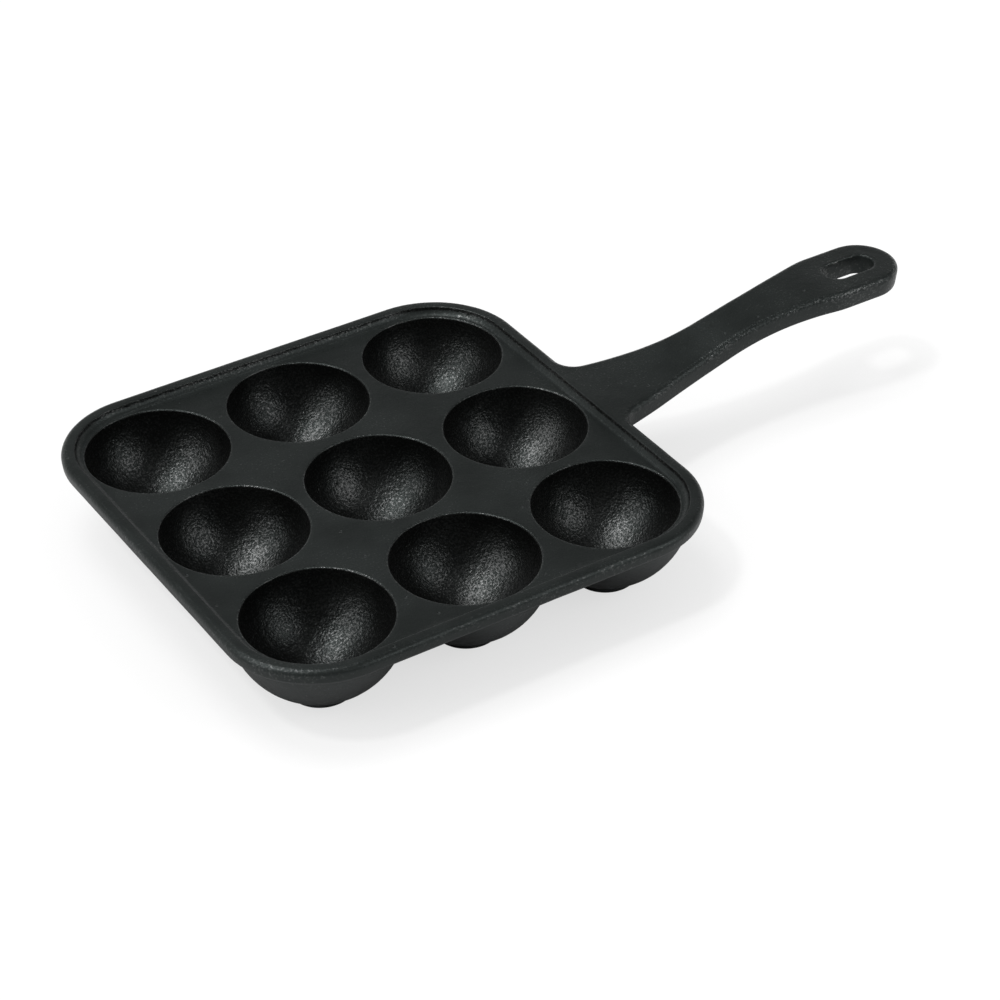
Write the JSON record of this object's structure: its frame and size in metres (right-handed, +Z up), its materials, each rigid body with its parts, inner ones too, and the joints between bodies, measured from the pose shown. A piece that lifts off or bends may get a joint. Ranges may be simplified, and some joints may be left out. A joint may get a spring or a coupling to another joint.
{
  "type": "aebleskiver pan",
  "caption": "Cast-iron aebleskiver pan: square plate with half-ball wells, a low raised rim, round flat feet under the cups and a flat handle that climbs to a slotted grip.",
  "frame": {"origin": "centre of the flat foot under the middle cup, on the surface that the pan stands on", "axes": "+X runs from the plate out along the handle, +Z is up, and +Y completes the frame: it points to the left of someone who looks along +X"},
  "size_m": [0.3476, 0.1994, 0.0516],
  "materials": {
    "iron": "sand-cast, matte black, seasoned"
  },
  "bodies": {
    "root": {"deck": "iron", "rim": "iron", "cup_far_right": "iron", "cup_far_centre": "iron", "cup_far_left": "iron", "cup_mid_right": "iron", "cup_mid_centre": "iron", "cup_mid_left": "iron", "cup_near_right": "iron", "cup_near_centre": "iron", "cup_near_left": "iron", "handle": "iron"}
  },
  "joints": []
}
